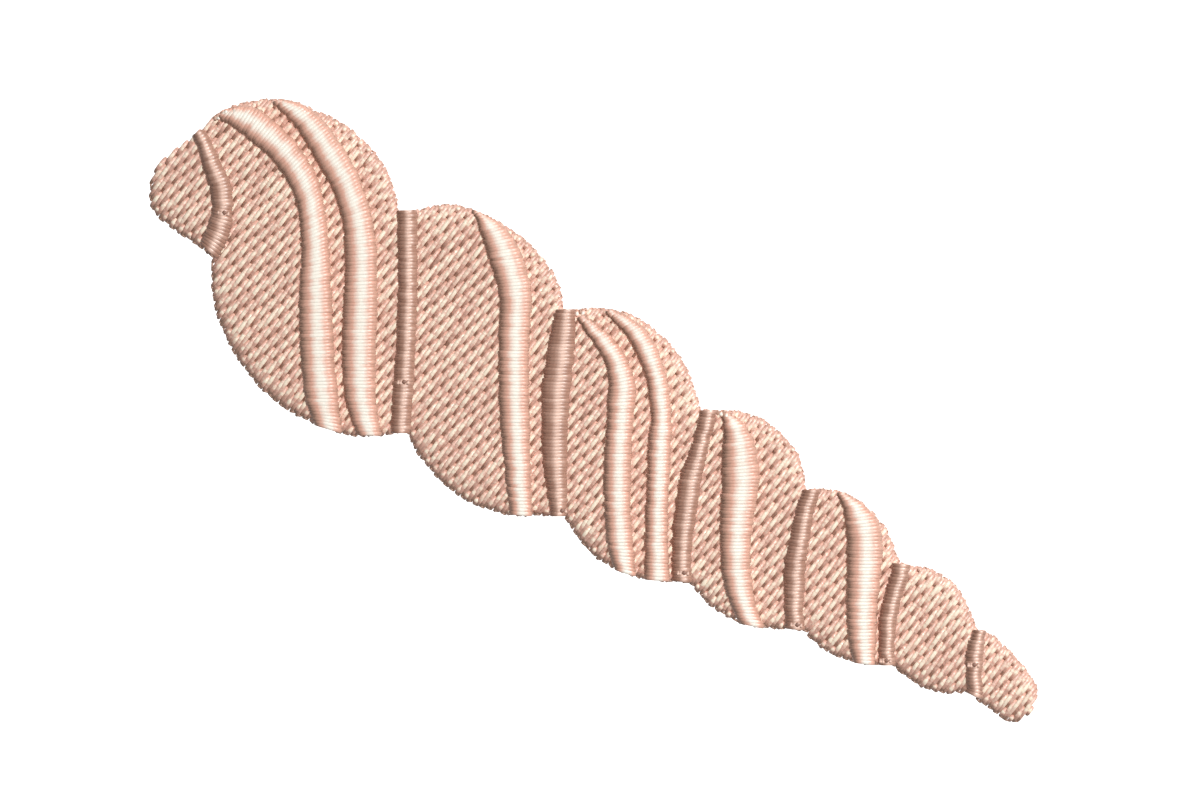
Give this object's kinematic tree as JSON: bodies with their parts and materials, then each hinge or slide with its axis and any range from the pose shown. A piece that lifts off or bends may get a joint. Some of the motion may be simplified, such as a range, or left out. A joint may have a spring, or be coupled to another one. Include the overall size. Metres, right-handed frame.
{
  "type": "embroidered shell patch",
  "caption": "Flat machine-embroidered patch in the shape of a turret shell, with a tatami-stitched ground, raised satin ribs and darker satin sutures; decorates cloth.",
  "frame": {"origin": "middle of the back face, which lies on the cloth it is fastened to", "axes": "+X along the patch from the siphon end to the apex end, +Y up the hoop, +Z out of the stitched face"},
  "size_m": [0.0996, 0.0698, 0.003],
  "materials": {
    "peach_thread": "satin-sheen embroidery thread",
    "rose_thread": "satin-sheen embroidery thread",
    "ground_cloth": "matt woven cloth",
    "bobbin_thread": "matt spun thread"
  },
  "bodies": {
    "root": {"bobbin_thread": "bobbin_thread", "ground_cloth": "ground_cloth", "tatami_fill": "peach_thread", "satin_rib_1": "peach_thread", "satin_rib_2": "peach_thread", "satin_rib_3": "peach_thread", "satin_rib_4": "peach_thread", "satin_rib_5": "peach_thread", "satin_rib_6": "peach_thread", "satin_rib_7": "peach_thread", "satin_suture_1": "rose_thread", "satin_suture_2": "rose_thread", "satin_suture_3": "rose_thread", "satin_suture_4": "rose_thread", "satin_suture_5": "rose_thread", "satin_suture_6": "rose_thread", "satin_suture_7": "rose_thread"}
  },
  "joints": []
}
